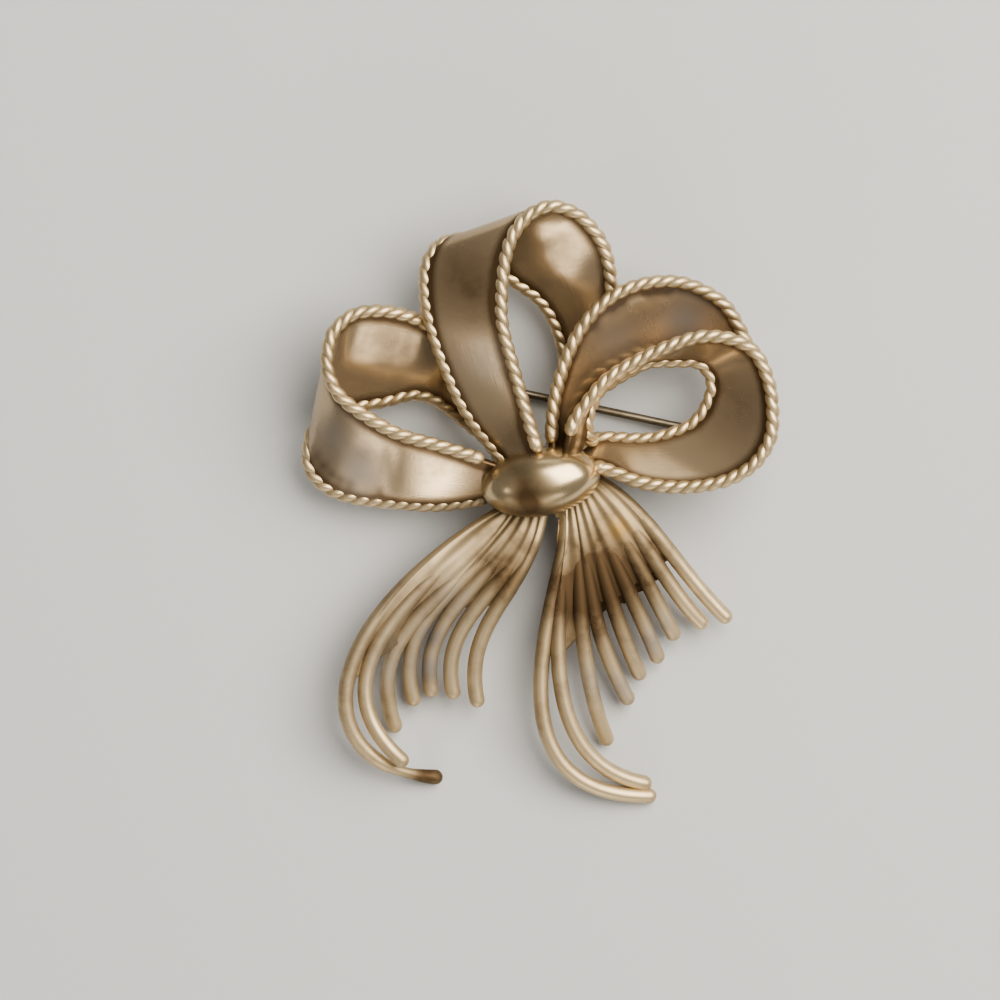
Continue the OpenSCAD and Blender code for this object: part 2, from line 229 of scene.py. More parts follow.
# Share of its thickness that each wire keeps at the neck behind its tip, and the neck's place and
# width as shares of the run.
LEFT_NECKS = (1.0, 1.0, 1.0, 1.0, 1.0, 1.0, 0.68)
RIGHT_NECKS = (1.0,) * len(RIGHT_WIRES)
NECK_AT, NECK_WIDTH = 0.91, 0.06
# Wires: heights of root and pulls in millimetres, and the shares of the run where a wire starts, inside
# the knot, and where it reaches its full thickness. Then its rings, its sides and the rings of its tip.
ROOT_HEIGHT, FIRST_PULL_HEIGHT, SECOND_PULL_HEIGHT = 5.4, 7.2, 5.2
WIRE_START, FULL_THICKNESS_AT = -0.03, 0.4
WIRE_RINGS, WIRE_SIDES, TIP_RINGS = 150, 20, 7
# A wire's patina everywhere, and the painted shade and dark reflection added at this share of the run,
# with that spread.
WIRE_PATINA, WIRE_PAINTED_SHADE, WIRE_PAINTED_SHADE_AT, WIRE_PAINTED_SHADE_SPREAD = 0.1, 0.36, 0.3, 0.28
# Sheet of a fringe: rows, columns from wire to wire, and the share of a wire's run as far as which its
# thickness follows the wires'.
SHEET_ROWS, SHEET_COLUMNS = 70, 8
SHEET_REACH = 0.5
# How far its face stands over the wires at their roots and sinks from there, and how much deeper it
# lies between two wires, all as shares of half a wire's thickness. The bay at its end is a share of
# its run, and its back lies this many millimetres behind the wires' middles.
SHEET_OVER_ROOTS, SHEET_SINK, SHEET_SINK_POWER = 0.42, 1.37, 2.2
SHEET_HOLLOW, SHEET_BAY, SHEET_BACK = 0.2, 0.08, 0.3
# Its patina and painted shade between the wires at the roots, and how much more at its end, where it
# sinks deeper between them, and its size on the UV map in millimetres: its length and the width of a
# column.
SHEET_PATINA_AND_SHADE, SHEET_PATINA_AND_SHADE_ADDED = 0.3, 0.2
SHEET_LENGTH, COLUMN_WIDTH = 20, 0.3

# Stains, worn places and painted light in millimetres: across, along, radius, and patina added there or
# worn off. Many are painted: shade where ribbons run under the knot, shadow lines between rope and
# ribbon wall, dark reflections on ribbons, fringes and knot, and highlights where patina is worn off.
STAINS_AND_PAINTED_LIGHT = {
    # Painted shade and dark reflection over the middle of the fan; the worn places paint highlights.
    "fringe_right": [
        (5.6, -4.4, 4.4, 0.38), (6.8, -11.0, 4.5, 0.55), (10.8, -7.6, 3.8, 0.42), (3.0, -9.0, 3.2, 0.35),
        (17.0, -9.8, 2.4, -0.5), (1.4, -1.6, 1.5, -0.5), (12.8, -11.9, 1.4, -0.4)],
    # Stains, with a painted highlight worn in at the upper left and painted shade at the long wire's tip.
    "fringe_left": [
        (-3.6, -4.2, 3.4, 0.3), (-2.6, -8.6, 3.2, 0.3), (-10.6, -9.6, 1.6, 0.15), (-8.9, -6.4, 1.7, -0.5),
        (-10.9, -13.6, 1.2, 0.5), (-11.1, -17.0, 1.4, 0.55), (-10.8, -27.4, 3.0, 0.7),
        (-8.6, -17.0, 1.3, -0.4)],
    # Painted dark reflection high on the outer wall, and painted shade where it runs under the knot.
    "ribbon_top": [(-7.4, 22.4, 4.6, 0.7), (-2.6, 6.4, 2.2, 0.5)],
    # Painted shade by the knot, painted dark reflections on both walls, and a row of small spots that paints
    # the shadow line between the back rope and the wall.
    "ribbon_left": [
        (-20.6, 7.2, 2.3, 0.25), (-6.4, 3.0, 1.7, 0.5), (-15.0, 15.8, 3.0, 0.3), (-18.6, 4.4, 2.4, 0.35),
        (-22.4, 4.8, 0.6, 0.5), (-21.7, 3.8, 0.6, 0.6), (-20.9, 3.0, 0.6, 0.6), (-20.0, 2.4, 0.6, 0.6),
        (-19.0, 1.9, 0.6, 0.6), (-16.0, 1.3, 0.6, 0.5)],
    # Painted dark reflection on the wall, and painted shade by the knot.
    "ribbon_right": [(19.8, 8.6, 4.2, 0.4), (7.0, 4.4, 1.8, 0.4)],
    # Painted dark reflection on the inner wall, and small spots that paint the shadow line along the outer
    # rope.
    "ribbon_upper_right": [
        (6.0, 15.0, 4.0, 0.3), (10.7, 21.1, 0.6, 0.7), (11.7, 21.3, 0.6, 0.7), (12.7, 21.2, 0.6, 0.6),
        (8.1, 20.1, 0.6, 0.6), (7.3, 19.5, 0.6, 0.6), (5.6, 17.7, 0.6, 0.6), (3.1, 15.0, 0.6, 0.5)],
    # Painted dark reflection low on the left of the dome, and a cleaner spot where the small highlight
    # falls.
    "knot_dome": [(-1.4, 0.4, 3.2, 0.78), (-3.8, 1.5, 1.1, -0.4)],
}
# Places where the first, yellower gilding is left: across, along, radius and amount.
GILDING = {"fringe_right": [(7.9, -2.5, 1.1, 0.9)], "fringe_left": [(-3.2, -7.6, 1.6, 0.25)]}
# Places with a thin grey film, which on the ribbons paints grey reflections: across, along, radius and
# amount.
FILM_AND_PAINTED_REFLECTIONS = {
    # On the ribbons this grey film paints reflections.
    "ribbon_upper_right": [(14.6, 18.2, 2.8, 0.95), (8.0, 16.4, 3.0, 0.55)],
    "ribbon_left": [(-18.0, 3.4, 2.4, 0.6), (-20.9, 7.0, 2.4, 0.5)],
    "ribbon_top": [(-5.6, 14.2, 2.2, 0.35)],
    "fringe_right": [
        (12.4, -12.0, 1.4, 0.5), (11.1, -14.3, 1.5, 0.65), (8.5, -18.6, 1.9, 0.55), (4.8, -18.0, 2.4, 0.35)],
    "fringe_left": [
        (-8.4, -9.4, 2.0, 0.35), (-13.0, -14.0, 6.0, 0.2), (-10.9, -13.2, 1.2, 0.5),
        (-11.1, -16.4, 1.3, 0.6), (-15.0, -16.6, 1.6, 0.35)],
}
# Each mask of a piece, with the table that adds to it.
MASKS = {"patina": STAINS_AND_PAINTED_LIGHT, "gilding": GILDING, "film": FILM_AND_PAINTED_REFLECTIONS}

# Knot in millimetres: middle across and along, height of its underside, and how full its dome is.
KNOT_CENTRE = (0.1, 2.3)
KNOT_FLOOR = 2.5
KNOT_FULLNESS = 2.3
# Its rings over the dome and down the wall, its sides, how far round the first ring lies, how much the
# wall draws in, the size of the two rings under it and the distance round it on the UV map.
DOME_RINGS, WALL_RINGS, KNOT_SIDES = 60, 14, 144
KNOT_CREST = math.radians(1.5)
WALL_DRAWN_IN = 0.12
UNDERSIDE = (0.6, 0.05)
KNOT_ROUND = 30
# Valley across the dome: distance left of the middle, slant, width and depth. Left of it the dome steps
# down: distance from the middle, width and drop of the step.
VALLEY_PLACE, VALLEY_SLANT, VALLEY_WIDTH, VALLEY_DEPTH = 2.0, 0.25, 1.5, 0.25
STEP_PLACE, STEP_WIDTH, STEP_DROP = 2.1, 0.9, 0.3
# The knot's patina and painted shade: the most at its foot, where it meets the ribbons and fringes, how
# far over the rim it starts, how far it takes to grow, and the painted dark reflection that the valley
# has.
FOOT_PATINA_AND_SHADE, PATINA_AND_SHADE_OVER_RIM, PATINA_AND_SHADE_FADE, VALLEY_PAINTED_REFLECTION = 0.8, 0.9, 1.8, 0.3

# Pin in millimetres: height of the stem over the pin's lowest point, and for the hinge foot and the
# catch foot the place across and along, the height and the thickness.
STEM_LIFT = 1.3
FEET = ((-6.17, 12.14, 4.98, 2.4), (19.76, 6.59, 4.81, 2.2))
STEM_RINGS, STEM_SIDES = 60, 20
FOOT_RINGS, FOOT_SIDES = 24, 28
# How much a foot's ends draw in, and over what share of its height.
FOOT_EASE, FOOT_EASE_RUN = 0.18, 0.12

# Round tubes: rings of a rounded end, and how far round its outermost ring lies.
CAP_RINGS = 5
CAP_TIP = math.radians(80)

# Depth of the bumps that pits and polishing lines make, and the noise values between which clouds of
# patina fade in.
BUMP_DEPTH = 0.02 * MM
CLOUD_EDGE = {"From Min": 0.42, "From Max": 0.75}

# Studio lights: azimuth and elevation in degrees, distance, width and height in metres, and the studio
# setting that gives the power with the share of it.
LIGHTS = {
    "key": (30, 55, 0.6, 0.6, 0.56, "key_power", 1.0),
    "overhead": (44, 72, 1.35, 0.7, 0.6, "overhead_power", 1.0),
    "front_middle": (-91, 16, 0.6, 0.15, 0.15, "front_power", 1.0),
    "front_left": (-115, 22, 0.6, 0.14, 0.15, "front_power", 0.5),
    "front_right": (-69, 25, 0.6, 0.16, 0.12, "front_power", 0.45),
    "back": (90, 24, 0.6, 0.3, 0.14, "back_power", 1.0),
    "side": (-152, 50, 0.6, 0.11, 0.11, "side_power", 1.0),
}
LAMP_COLOUR = (1.0, 0.92, 0.8)
ROOM_COLOUR = (0.5, 0.495, 0.49, 1)
FLOOR_REACH, FLOOR_ROUGHNESS = 3, 0.8
# Camera: place in metres, lens and sensor in millimetres, and the nearest and farthest it sees.
CAMERA_PLACE = (-0.004, 0.0004, 1.008)
CAMERA_LENS, CAMERA_SENSOR = 360, 36
CAMERA_NEAR, CAMERA_FAR = 0.01, 20

# What properties of one kind share.
LENGTH = {"precision": 5, "subtype": "DISTANCE", "unit": "LENGTH"}
COLOUR = {"min": 0.0, "max": 1.0, "size": 3, "subtype": "COLOR"}
POWER = {"min": 0.0, "max": 200.0, "unit": "POWER"}


def linear(red, green, blue):
    """Scene-linear colour of an 8-bit display colour."""
    share = np.array([red, green, blue]) / 255
    value = np.where(share <= 0.04045, share / 12.92, ((share + 0.055) / 1.055) ** 2.4)
    return tuple(float(v) for v in value)


class BroochSizes(bpy.types.PropertyGroup):
    """Sizes of the ribbons, ropes, knot, wires and pin"""
    ribbon_thickness: bpy.props.FloatProperty(
        name="Ribbon thickness", description="Wall thickness of the ribbon loops",
        default=0.7 * MM, min=0.3 * MM, max=1.2 * MM, **LENGTH)
    ribbon_cup: bpy.props.FloatProperty(
        name="Ribbon cup", description="How far the ribbon's middle stands out from its edges",
        default=0.15 * MM, min=0.0, max=0.6 * MM, **LENGTH)
    rope_thickness: bpy.props.FloatProperty(
        name="Rope thickness", description="Overall thickness of the rope along each ribbon edge",
        default=1.4 * MM, min=0.8 * MM, max=1.8 * MM, **LENGTH)
    rope_pitch: bpy.props.FloatProperty(
        name="Rope pitch", description="Length of rope in which a strand turns once round",
        default=2.65 * MM, min=1.2 * MM, max=4.0 * MM, **LENGTH)
    knot_length: bpy.props.FloatProperty(
        name="Knot length", description="Length of the knot across the bow",
        default=12.0 * MM, min=9.0 * MM, max=14.0 * MM, **LENGTH)
    knot_width: bpy.props.FloatProperty(
        name="Knot width", description="Width of the knot along the bow",
        default=7.0 * MM, min=5.0 * MM, max=9.0 * MM, **LENGTH)
    knot_dome: bpy.props.FloatProperty(
        name="Knot dome", description="Height of the knot's dome over its rim",
        default=4.5 * MM, min=2.0 * MM, max=5.5 * MM, **LENGTH)
    knot_turn: bpy.props.FloatProperty(
        name="Knot turn", description="Turn of the knot, which puts its right end higher",
        default=math.radians(10), min=0.0, max=math.radians(20), subtype="ANGLE", unit="ROTATION")
    wire_thickness: bpy.props.FloatProperty(
        name="Wire thickness", description="Thickness of a fringe wire from its middle to its tip",
        default=1.55 * MM, min=1.0 * MM, max=1.8 * MM, **LENGTH)
    root_thickness: bpy.props.FloatProperty(
        name="Root thickness", description="Thickness of a fringe wire where it leaves the knot",
        default=1.2 * MM, min=0.8 * MM, max=1.5 * MM, **LENGTH)
    pin_thickness: bpy.props.FloatProperty(
        name="Pin thickness", description="Thickness of the pin stem",
        default=0.8 * MM, min=0.5 * MM, max=1.0 * MM, **LENGTH)


class BroochFinish(bpy.types.PropertyGroup):
    """Colours and roughness of the brooch's metals"""
    gold: bpy.props.FloatVectorProperty(
        name="Gold", description="Colour of the clean pale gold",
        default=linear(208, 189, 155), **COLOUR)
    ribbon_gold: bpy.props.FloatVectorProperty(
        name="Ribbon gold", description="Colour of the ribbons' worn faces",
        default=linear(192, 172, 143), **COLOUR)
    # This patina colour also paints the shade between rope strands, on the fringes and at the knot's foot,
    # and the knot's dark reflection.
    patina: bpy.props.FloatVectorProperty(
        name="Patina", description="Colour of the dark patina in grooves and hollows",
        default=linear(92, 75, 55), **COLOUR)
    # The ribbons' patina colour also paints the shade along their edges and by the knot, and their dark
    # reflections.
    ribbon_patina_and_shade: bpy.props.FloatVectorProperty(
        name="Ribbon patina and shade", description="Colour of the dull film on the ribbons' faces",
        default=linear(96, 78, 57), **COLOUR)
    gilding: bpy.props.FloatVectorProperty(
        name="Gilding", description="Colour of the yellower first gilding where it is left",
        default=linear(214, 174, 98), **COLOUR)
    # On the ribbons this grey colour paints reflections as well as a film.
    film: bpy.props.FloatVectorProperty(
        name="Film", description="Colour of the thin grey film",
        default=linear(146, 142, 140), **COLOUR)
    steel: bpy.props.FloatVectorProperty(
        name="Pin steel", description="Colour of the dull pin stem",
        default=linear(128, 120, 106), **COLOUR)
    ribbon_roughness: bpy.props.FloatProperty(
        name="Ribbon roughness", description="Roughness of the ribbons' satin faces",
        default=0.16, min=0.05, max=1.0, subtype="FACTOR")
    knot_roughness: bpy.props.FloatProperty(
        name="Knot roughness", description="Roughness of the polished knot",
        default=0.21, min=0.05, max=1.0, subtype="FACTOR")


class StudioSettings(bpy.types.PropertyGroup):
    """Floor colour and light"""
    floor_colour: bpy.props.FloatVectorProperty(
        name="Floor colour", description="Colour of the plain pale floor",
        default=(0.53, 0.55, 0.575), **COLOUR)
    key_power: bpy.props.FloatProperty(
        name="Key power", description="Power of the soft light from the upper right",
        default=7.4, **POWER)
    overhead_power: bpy.props.FloatProperty(
        name="Overhead power", description="Power of the broad, weak light over the bow",
        default=2.0, **POWER)
    front_power: bpy.props.FloatProperty(
        name="Front power", description="Power of the low lights below the tails",
        default=0.5, **POWER)
    back_power: bpy.props.FloatProperty(
        name="Back power", description="Power of the low light above the top loop",
        default=0.15, **POWER)
    side_power: bpy.props.FloatProperty(
        name="Side power", description="Power of the light from the left",
        default=0.2, **POWER)
    room_light: bpy.props.FloatProperty(
        name="Room light", description="Strength of the even light all round",
        default=0.36, min=0.0, max=5.0)


# Shapes. Paths and grids are whole numpy arrays in metres. A part has its points, its faces of four and
# of three corners with their UV places, and the patina with painted shade at each point.

Part = namedtuple("Part", "points quads quad_uv fans fan_uv patina")


def unit(vectors):
    """Each vector divided by its length."""
    return vectors / np.linalg.norm(vectors, axis=-1, keepdims=True)


def bell(distance, width):
    """Bell that is 1 in its middle: e to the power of minus the square of distance over width."""
    return np.exp(-(distance / width) ** 2)


def run_along(points):
    """Distance run to each point of a line of points."""
    return np.concatenate([[0], np.cumsum(np.linalg.norm(np.diff(points, axis=0), axis=1))])


def distance_round(radius, sides):
    """Distance in millimetres round a circle to each of its sides, and once round."""
    return np.linspace(0, 2 * math.pi, sides + 1) * radius / MM


def curve_through(rows, places):
    """Smooth curve through table rows: the Catmull-Rom cubic between the row before and the row after
    each place, with the rows at the ends repeated."""
    rows = np.asarray(rows, dtype=float)
    places = np.asarray(places, dtype=float)
    i = np.clip(np.floor(places).astype(int), 0, len(rows) - 2)
    t = (places - i)[:, None]
    before, start, end, after = (rows[np.clip(i + k, 0, len(rows) - 1)] for k in (-1, 0, 1, 2))
    return 0.5 * (2 * start + (end - before) * t + (2 * before - 5 * start + 4 * end - after) * t ** 2
                  + (3 * start - before - 3 * end + after) * t ** 3)


def ring_through(points, count):
    """The same cubic through points that close on themselves."""
    wrapped = np.concatenate([points[-2:], points, points[:3]])
    return curve_through(wrapped, np.linspace(2, len(points) + 2, count))


def evenly(points, count):
    """That many points of a curve at equal distances, and the distance run to each."""
    run = run_along(points)
    even = np.linspace(0, run[-1], count)
    return np.stack([np.interp(even, run, line) for line in points.T], axis=1), even


def frames_along(path, up, closed=False):
    """Tangent, a first normal that keeps to the up direction and a second normal at each point."""
    if closed:
        tangent = unit(np.roll(path[:-1], -1, axis=0) - np.roll(path[:-1], 1, axis=0))
        tangent = np.concatenate([tangent, tangent[:1]])
    else:
        tangent = unit(np.gradient(path, axis=0))
    up = np.broadcast_to(up, path.shape)
    first = unit(up - (up * tangent).sum(axis=1, keepdims=True) * tangent)
    return tangent, first, np.cross(tangent, first)


def surface_normal(sheet):
    """Normal at each point of a grid: the cross product of its steps along and across."""
    return unit(np.cross(np.gradient(sheet, axis=0), np.gradient(sheet, axis=1)))


def circles(middles, radius, first, second, sides):
    """Circle round each middle: radius times the cosine of an angle along the first normal, and times
    its sine along the second."""
    angle = np.linspace(0, 2 * math.pi, sides, endpoint=False)[None, :, None]
    first, second = np.atleast_2d(first)[:, None], np.atleast_2d(second)[:, None]
    arms = np.cos(angle) * first + np.sin(angle) * second
    return middles[:, None] + np.reshape(radius, (-1, 1, 1)) * arms


def face_uv(*corners):
    """UV places of faces, from the distances along and across at each of their corners."""
    return np.stack([np.stack(corner, axis=1) for corner in corners], axis=1)


def grid_part(rings, along, across, patina, closed=False):
    """A closed tube from rings[i, k]: four-sided faces between neighbouring rings, and a fan to the
    middle of the first and last ring unless the rings close on themselves."""
    n, m = rings.shape[:2]
    i, k = (index.ravel() for index in np.meshgrid(np.arange(n - 1), np.arange(m), indexing="ij"))
    count = n - 1 if closed else n
    beside, ahead = (k + 1) % m, (i + 1) % count
    quads = np.stack([i * m + k, i * m + beside, ahead * m + beside, ahead * m + k], axis=1)
    quad_uv = face_uv((along[i], across[k]), (along[i], across[k + 1]),
                      (along[i + 1], across[k + 1]), (along[i + 1], across[k]))
    points, values = rings[:count].reshape(-1, 3), patina[:count].reshape(-1)
    if closed:
        return Part(points, quads, quad_uv, np.zeros((0, 3), int), np.zeros((0, 3, 2)), values)
    middles = n * m
    points = np.concatenate([points, rings[[0, -1]].mean(axis=1)])
    values = np.concatenate([values, patina[[0, -1]].mean(axis=1)])
    k = np.arange(m)
    beside, last = (k + 1) % m, middles - m
    fans = np.concatenate([
        np.stack([np.full(m, middles), beside, k], axis=1),
        np.stack([np.full(m, middles + 1), last + k, last + beside], axis=1)])
    begin, end = np.full(m, along[0]), np.full(m, along[-1])
    halfway = (across[:-1] + across[1:]) / 2
    fan_uv = np.concatenate([
        face_uv((begin, halfway), (begin, across[1:]), (begin, across[:-1])),
        face_uv((end, halfway), (end, across[:-1]), (end, across[1:]))])
    return Part(points, quads, quad_uv, fans, fan_uv, values)


def outward(rings, along, across, patina):
    """The same tube with the order round its rings turned where its faces would look inwards."""
    n = rings.shape[0] // 2
    middle = rings[n].mean(axis=0)
    run = rings[n + 1].mean(axis=0) - middle
    arm = rings[n] - middle
    spin = np.cross(arm, np.roll(arm, -1, axis=0)).sum(axis=0) @ run
    if spin < 0:
        rings, patina, across = rings[:, ::-1], patina[:, ::-1], across[-1] - across[::-1]
    return grid_part(rings, along, across, patina)


def joined(parts):
    """Several grid parts as one, with the points of each numbered on from those before it."""
    starts = np.cumsum([0] + [len(part.points) for part in parts[:-1]])
    moved = [part._replace(quads=part.quads + start, fans=part.fans + start)
             for part, start in zip(parts, starts)]
    return Part(*(np.concatenate(values) for values in zip(*moved)))


def masks_of(name, points, patina):
    """The patina mask with its painted shade and light, and the gilding and film masks, at each point. Each
    place in the piece's tables adds its amount times a bell of the distance from its middle, and every
    mask stays between 0 and 1."""
    masks = {}
    for layer, table in MASKS.items():
        values = patina if layer == "patina" else np.zeros(len(points))
        for across, along, radius, amount in table.get(name, ()):
            away = np.linalg.norm(points[:, :2] - np.array([across, along]) * MM, axis=1)
            values = values + amount * bell(away, radius * MM)
        masks[layer] = np.clip(values, 0, 1)
    return masks


def make_piece(name, parts, material, node):
    """One mesh from grid parts, with its distances along and across as the UV map, its masks as
    attributes, smooth faces and its material, hung under the root body, with the CAD node that it stands
    for hidden."""
    whole = joined(parts)
    mesh = bpy.data.meshes.new(name)
    mesh.vertices.add(len(whole.points))
    mesh.vertices.foreach_set("co", whole.points.astype(np.float32).ravel())
    corners = np.concatenate([whole.quads.ravel(), whole.fans.ravel()]).astype(np.int32)
    totals = np.repeat([4, 3], [len(whole.quads), len(whole.fans)]).astype(np.int32)
    mesh.loops.add(len(corners))
    mesh.loops.foreach_set("vertex_index", corners)
    mesh.polygons.add(len(totals))
    mesh.polygons.foreach_set("loop_start", (np.cumsum(totals) - totals).astype(np.int32))
    mesh.polygons.foreach_set("loop_total", totals)
    uv = np.concatenate([whole.quad_uv.reshape(-1, 2), whole.fan_uv.reshape(-1, 2)]).astype(np.float32)
    mesh.uv_layers.new(name="Surface").data.foreach_set("uv", uv.ravel())
    for layer, values in masks_of(name, whole.points, whole.patina).items():
        mesh.attributes.new(layer, "FLOAT", "POINT").data.foreach_set("value", values.astype(np.float32))
    mesh.update(calc_edges=True)
    mesh.polygons.foreach_set("use_smooth", np.ones(len(totals), dtype=bool))
    if mesh.validate():
        raise RuntimeError(f"{name} has broken faces")
    mesh.materials.append(material)
    obj = bpy.data.objects.new(name, mesh)
    bpy.context.scene.collection.objects.link(obj)
    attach(obj, "root")
    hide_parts(node)
    return obj


def tube(path, radius, sides, up=UP, patina=0.0, cap_rings=CAP_RINGS):
    """Round tube: at each point of the path a circle of its radius, at right angles to the path. A
    rounded end adds circles that step out by radius times sine while they shrink by the cosine."""
    tangent, first, second = frames_along(path, up)
    radius = np.broadcast_to(np.asarray(radius, dtype=float), (len(path),))
    patina = np.broadcast_to(np.asarray(patina, dtype=float), (len(path),))
    if cap_rings:
        turn = np.concatenate([[CAP_TIP], np.linspace(math.pi / 2, 0, cap_rings + 1)[1:-1]])
        lead = path[0] - np.outer(radius[0] * np.sin(turn), tangent[0])
        tail = path[-1] + np.outer(radius[-1] * np.sin(turn[::-1]), tangent[-1])
        repeat = np.clip(np.arange(-len(turn), len(path) + len(turn)), 0, len(path) - 1)
        radius = np.concatenate([radius[0] * np.cos(turn), radius, radius[-1] * np.cos(turn[::-1])])
        path = np.concatenate([lead, path, tail])
        first, second, patina = first[repeat], second[repeat], patina[repeat]
    rings = circles(path, radius, first, second, sides)
    patina = np.repeat(patina[:, None], sides, axis=1)
    return grid_part(rings, run_along(path) / MM, distance_round(radius.max(), sides), patina)


def ribbon(rows, dents, sizes):
    """Ribbon wall: a point at share v of the way from the front edge to the back edge, moved out by
    the cup, less each dent's bell, times a power of the sine of half a turn times v, then half the
    thickness to each side along the surface's normal. A dent is as far away as the root mean square
    of both edges' distances. The painted shade along each edge, where the rope meets the wall, is e to
    the power of minus the fourth power of the distance from it over its width."""
    rows = np.asarray(rows) * MM
    curve = curve_through(rows, np.linspace(0, len(rows) - 1, RIBBON_STEPS))
    edges, _ = evenly(curve, RIBBON_STEPS)
    front, back = edges[:, :3], edges[:, 3:]
    v = np.linspace(0, 1, RIBBON_COLUMNS)
    sheet = front[:, None] + v[None, :, None] * (back - front)[:, None]
    bow = np.full(RIBBON_STEPS, sizes.ribbon_cup)
    for place, width, depth in dents:
        away = np.linalg.norm(edges - curve_through(rows, [place]), axis=1) / math.sqrt(2)
        bow = bow - depth * MM * bell(away, width * MM)
    sheet = sheet + (bow[:, None] * np.sin(math.pi * v) ** CUP_FULLNESS)[..., None] * surface_normal(sheet)
    half = sizes.ribbon_thickness / 2 * surface_normal(sheet)
    rings = np.concatenate([sheet + half, (sheet - half)[:, ::-1]], axis=1)
    widths = np.linalg.norm(back - front, axis=1)
    across = np.concatenate([v, 1 + RIM_SHARE + v, [2 + 2 * RIM_SHARE]]) * widths.mean()
    # Painted shade along each edge of the wall, where the rope meets it, carried in the patina mask.
    edge = np.exp(-(np.minimum(v, 1 - v)[None] * widths[:, None] / (EDGE_SHADE_WIDTH * MM)) ** 4)
    run = run_along(sheet[:, RIBBON_COLUMNS // 2])
    return outward(rings, run / MM, across / MM, np.concatenate([edge, edge[:, ::-1]], axis=1))


def rope(path, sizes, closed=False):
    """Two strands wound left-handed round a path: each strand's middle stands off it by a seventh of
    the thickness, at an angle that turns once in a pitch, and carries a tube. The patina, with painted
    shade where the strands meet, grows from a strand's outer side to its inner one with the cosine of
    the angle round it."""
    strand = sizes.rope_thickness * STRAND_SHARE
    stand_off = sizes.rope_thickness / 2 - strand
    steps = run_along(path)[-1] / (sizes.rope_pitch / STRAND_STEPS)
    path, run = evenly(path, int(round(steps)) + 1)
    _, first, second = frames_along(path, UP, closed)
    turns = run / sizes.rope_pitch
    if closed:
        turns = np.linspace(0, round(turns[-1]), len(turns))
    angle = np.linspace(0, 2 * math.pi, STRAND_SIDES, endpoint=False)
    # Patina with painted shade, darker on the side of each strand that faces the other.
    patina = np.clip(STRAND_PATINA_AND_SHADE - STRAND_PATINA_AND_SHADE_SWING * np.cos(angle), 0, STRAND_PATINA_AND_SHADE_MOST)
    patina = np.repeat(patina[None], len(path), axis=0)
    parts = []
    for half in (0, 1):
        phase = math.pi * half - 2 * math.pi * turns
        out = np.cos(phase)[:, None] * first + np.sin(phase)[:, None] * second
        middle = path + stand_off * out
        _, outer, beside = frames_along(middle, out, closed)
        rings = circles(middle, strand, outer, beside, STRAND_SIDES)
        parts.append(grid_part(rings, run / MM, distance_round(strand, STRAND_SIDES), patina, closed))
    return parts


def bead(centre, direction, size):
    """Rounded rope end: half circles turned about the rope's direction, a little longer than wide."""
    turn = np.linspace(BEAD_TIP, math.pi - BEAD_TIP, BEAD_RINGS)
    direction = unit(direction)
    path = centre - np.outer(np.cos(turn) * size * BEAD_REACH, direction)
    first = np.cross(unit(np.cross(direction, UP)), direction)
    second = np.cross(direction, first)
    rings = circles(path, np.sin(turn) * size / 2, first, second, BEAD_SIDES)
    return grid_part(rings, turn * size / MM, distance_round(size, BEAD_SIDES), np.zeros(rings.shape[:2]))


def loop_ropes(name, rows, sizes):
    """Ropes of one ribbon: one along each edge in the table, with a bead at its start, and one at its
    end where that is clear of the knot, and the ring along the right ribbon's back edge."""
    table = np.asarray(rows) * MM
    parts = []
    for edge, (start, end) in ROPES[name].items():
        side = table[:, :3] if edge == "front" else table[:, 3:]
        path = curve_through(side, np.linspace(start, end, ROPE_POINTS))
        parts += rope(path, sizes)
        parts.append(bead(path[0], path[0] - path[BEAD_POINTS], sizes.rope_thickness))
        if end < len(rows) - ROWS_IN_KNOT:
            parts.append(bead(path[-1], path[-1] - path[-1 - BEAD_POINTS], sizes.rope_thickness))
    if name == "right":
        ring = np.concatenate([table[RING_ROWS, 3:], np.array(RING_CLOSE) * MM])
        parts += rope(ring_through(ring, RING_POINTS), sizes, closed=True)
    return parts


def wire_path(root, wire, shares):
    """Cubic Bezier curve from the root over two pulls to the tip."""
    start, end = np.array((*root, ROOT_HEIGHT)) * MM, np.array(wire[4:7]) * MM
    first_pull = np.array((*wire[:2], FIRST_PULL_HEIGHT)) * MM
    second_pull = np.array((*wire[2:4], SECOND_PULL_HEIGHT)) * MM
    t = shares[:, None]
    return ((1 - t) ** 3 * start + 3 * (1 - t) ** 2 * t * first_pull
            + 3 * (1 - t) * t ** 2 * second_pull + t ** 3 * end)


def wire_thickness(shares, sizes):
    """Thickness of a wire, which grows evenly from its root to its full one."""
    grown = np.clip(shares / FULL_THICKNESS_AT, 0, 1)
    return sizes.root_thickness + (sizes.wire_thickness - sizes.root_thickness) * grown


